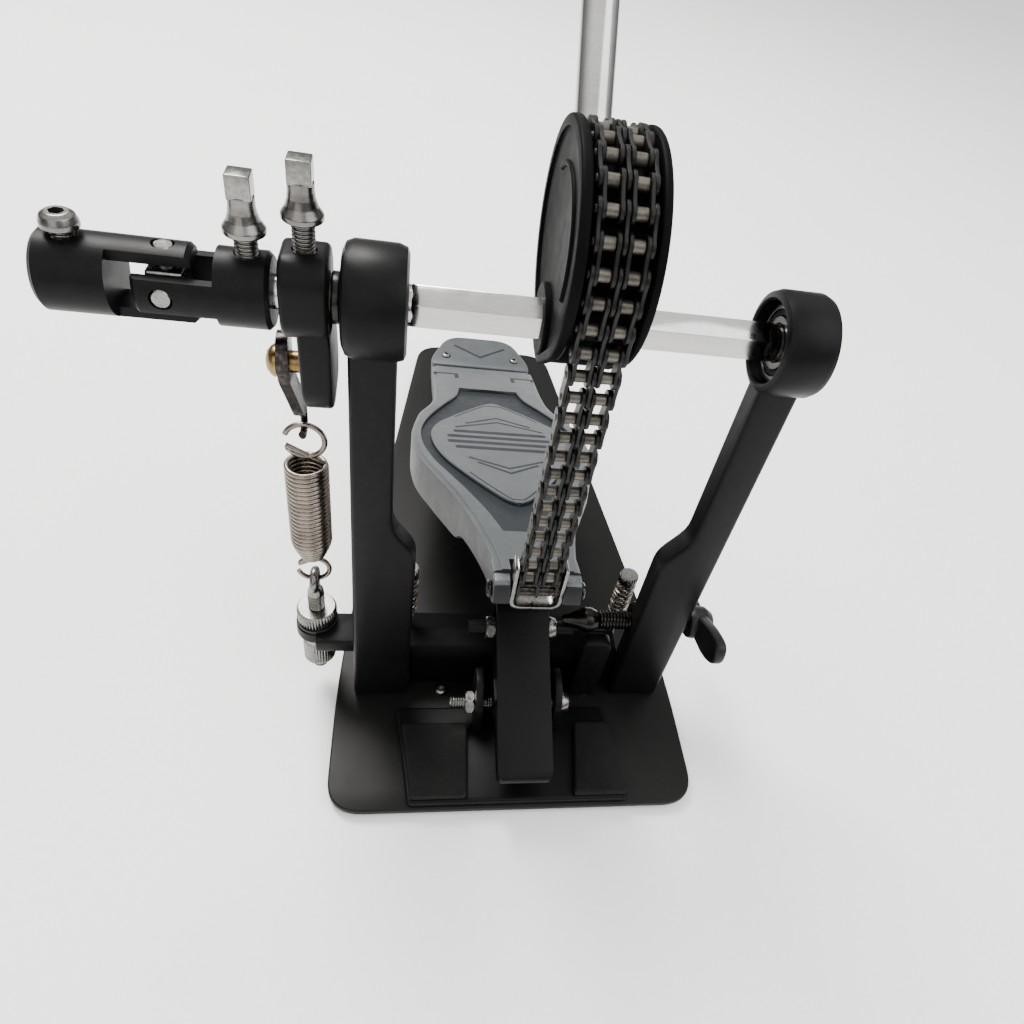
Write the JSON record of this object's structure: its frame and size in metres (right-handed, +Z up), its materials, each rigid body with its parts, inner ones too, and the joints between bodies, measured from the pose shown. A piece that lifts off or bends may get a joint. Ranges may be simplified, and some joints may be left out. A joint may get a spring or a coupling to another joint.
{
  "type": "bass drum pedal",
  "caption": "Foot pedal that swings a felt beater: footboard, duplex chain over a cam, hexagonal axle in two posts, return spring, hoop clamp and a universal joint.",
  "frame": {"origin": "on the floor, on the underside of the rubber pad, below the middle of the axle", "axes": "+X along the axle away from the universal joint, +Y towards the heel, +Z up"},
  "size_m": [0.202, 0.3, 0.3391],
  "materials": {
    "black_powder_coat": "satin powder coat over cast metal",
    "black_plate": "satin black steel sheet",
    "silver_casting": "silver sprayed casting with a dark recess",
    "polished_steel": "polished and plated",
    "nickel_hardware": "nickel plated hardware",
    "spring_wire": "bright spring wire",
    "chain_steel": "blackened plates with pale rollers",
    "brass_pin": "plain brass",
    "black_rubber": "matt moulded rubber",
    "black_plastic": "moulded plastic",
    "beater_felt": "pressed wool felt"
  },
  "bodies": {
    "base": {"rubber_pad": "black_rubber", "base_plate": "black_plate", "frame_bridge": "black_powder_coat", "left_post": "black_powder_coat", "right_post": "black_powder_coat", "left_bearing_outer_race": "polished_steel", "right_bearing_outer_race": "polished_steel", "jaw_block": "black_powder_coat", "left_jaw_pad": "black_rubber", "right_jaw_pad": "black_rubber", "left_clamp_ear": "black_powder_coat", "right_clamp_ear": "black_powder_coat", "clamp_screw_guide": "black_powder_coat", "heel_plate": "silver_casting", "hinge_pin": "nickel_hardware", "eye_bolt": "nickel_hardware", "lug_washer": "black_plastic", "upper_knurled_nut": "nickel_hardware", "left_spur_spring": "nickel_hardware", "right_spur_spring": "nickel_hardware"},
    "axle": {"axle": "polished_steel", "left_bearing_inner_race": "polished_steel", "right_bearing_inner_race": "polished_steel", "axle_collar": "polished_steel", "cam": "black_powder_coat", "beater_lock_bolt": "nickel_hardware", "chain_wrapped": "chain_steel", "spring_rocker": "black_powder_coat", "rocker_key_bolt": "nickel_hardware", "drive_yoke": "black_powder_coat", "yoke_key_bolt": "nickel_hardware"},
    "beater": {"beater_rod": "polished_steel", "beater_head": "beater_felt", "beater_back_cap": "black_plastic"},
    "chain_link_1": {"chain_link_1": "chain_steel"},
    "chain_link_2": {"chain_link_2": "chain_steel"},
    "chain_link_3": {"chain_link_3": "chain_steel"},
    "chain_link_4": {"chain_link_4": "chain_steel"},
    "chain_free": {"chain_free": "chain_steel", "toe_stirrup": "nickel_hardware"},
    "footboard": {"footboard": "silver_casting", "toe_pin": "nickel_hardware"},
    "hanger": {"spring_hanger": "polished_steel", "hanger_pivot": "brass_pin"},
    "spring_lower": {"return_spring": "spring_wire"},
    "spring_upper": {"spring_top_ring": "spring_wire"},
    "joint_cross": {"joint_cross": "nickel_hardware"},
    "link_yoke": {"link_yoke": "black_powder_coat", "link_yoke_screw": "nickel_hardware"},
    "clamp_arm": {"clamp_arm": "black_powder_coat", "clamp_arm_pad": "black_rubber", "clamp_pivot_bolt": "nickel_hardware", "clamp_pivot_nut": "nickel_hardware", "clamp_tail_bolt": "nickel_hardware", "clamp_tail_nut": "nickel_hardware"},
    "wing_screw": {"clamp_cone": "polished_steel", "wing_screw": "black_plastic"},
    "tension_nut": {"lower_knurled_nut": "nickel_hardware"},
    "left_spur": {"left_spur_screw": "nickel_hardware"},
    "right_spur": {"right_spur_screw": "nickel_hardware"}
  },
  "joints": [
    {"name": "axle_turn", "type": "hinge", "parent": "base", "child": "axle", "pos_m": [0, 0, 0.1725], "axis": [1, 0, 0], "range_deg": [0, 59], "stiffness_Nm_per_rad": 0.35, "springref_deg": -51.57},
    {"name": "footboard_press", "type": "hinge", "parent": "base", "child": "footboard", "pos_m": [-0.0043, 0.204, 0.014], "axis": [1, 0, 0], "range_deg": [0, 8.63]},
    {"name": "chain_joint_1", "type": "hinge", "parent": "axle", "child": "chain_link_1", "pos_m": [-0.0043, -0.01353, 0.21304], "axis": [1, 0, 0], "range_deg": [-3.9, 0]},
    {"name": "chain_joint_2", "type": "hinge", "parent": "chain_link_1", "child": "chain_link_2", "pos_m": [-0.0043, -0.01834, 0.20889], "axis": [1, 0, 0], "range_deg": [-14.85, 0]},
    {"name": "chain_joint_3", "type": "hinge", "parent": "chain_link_2", "child": "chain_link_3", "pos_m": [-0.0043, -0.02193, 0.20365], "axis": [1, 0, 0], "range_deg": [-14.85, 0]},
    {"name": "chain_joint_4", "type": "hinge", "parent": "chain_link_3", "child": "chain_link_4", "pos_m": [-0.0043, -0.02405, 0.19767], "axis": [1, 0, 0], "range_deg": [-14.85, 0]},
    {"name": "toe_swing", "type": "hinge", "parent": "footboard", "child": "chain_free", "pos_m": [-0.0043, -0.0198, 0.08985], "axis": [1, 0, 0], "range_deg": [-5.42, 0]},
    {"name": "hanger_swing", "type": "hinge", "parent": "axle", "child": "hanger", "pos_m": [-0.0787, 0.008, 0.148], "axis": [1, 0, 0], "range_deg": [-68.13, 0]},
    {"name": "spring_swing", "type": "hinge", "parent": "base", "child": "spring_lower", "pos_m": [-0.0752, 0.008, 0.06], "axis": [1, 0, 0], "range_deg": [-9.13, 0]},
    {"name": "spring_stretch", "type": "slide", "parent": "spring_lower", "child": "spring_upper", "axis": [0, 0, 1], "range_m": [0, 0.02011], "deforming": ["return_spring"]},
    {"name": "beater_height", "type": "slide", "parent": "axle", "child": "beater", "axis": [0, 0.6428, 0.766], "range_m": [0, 0.012]},
    {"name": "cross_swing", "type": "hinge", "parent": "axle", "child": "joint_cross", "pos_m": [-0.101, 0, 0.1725], "axis": [0, 1, 0], "range_deg": [-14, 14]},
    {"name": "link_yoke_swing", "type": "hinge", "parent": "joint_cross", "child": "link_yoke", "pos_m": [-0.101, 0, 0.1725], "axis": [0, 0, 1], "range_deg": [-14, 14]},
    {"name": "wing_turn", "type": "hinge", "parent": "base", "child": "wing_screw", "pos_m": [0.05, 0.003, 0.046], "axis": [1, 0, 0], "range_deg": [0, 450]},
    {"name": "clamp_arm_swing", "type": "hinge", "parent": "base", "child": "clamp_arm", "pos_m": [0, -0.016, 0.018], "axis": [1, 0, 0], "range_deg": [-7.01, 0]},
    {"name": "tension_nut_turn", "type": "hinge", "parent": "base", "child": "tension_nut", "pos_m": [-0.0752, 0.008, 0.022], "axis": [0, 0, 1], "continuous": true},
    {"name": "left_spur_turn", "type": "hinge", "parent": "base", "child": "left_spur", "pos_m": [-0.043, 0.02, 0.04], "axis": [0, 0, 1], "continuous": true},
    {"name": "right_spur_turn", "type": "hinge", "parent": "base", "child": "right_spur", "pos_m": [0.043, 0.02, 0.04], "axis": [0, 0, 1], "continuous": true}
  ],
  "couplings": [
    {"joint": "footboard_press", "follows": "axle_turn", "ratio": 0.14609},
    {"joint": "chain_joint_1", "follows": "axle_turn", "ratio": -0.065739},
    {"joint": "chain_joint_2", "follows": "axle_turn", "ratio": -0.25138},
    {"joint": "chain_joint_3", "follows": "axle_turn", "ratio": -0.25138},
    {"joint": "chain_joint_4", "follows": "axle_turn", "ratio": -0.25138},
    {"joint": "toe_swing", "follows": "axle_turn", "ratio": -0.09151},
    {"joint": "hanger_swing", "follows": "axle_turn", "ratio": -1.1545},
    {"joint": "spring_swing", "follows": "axle_turn", "ratio": -0.15445},
    {"joint": "spring_stretch", "follows": "axle_turn", "m_per_rad": 0.019523},
    {"joint": "clamp_arm_swing", "follows": "wing_turn", "ratio": -0.015556}
  ]
}
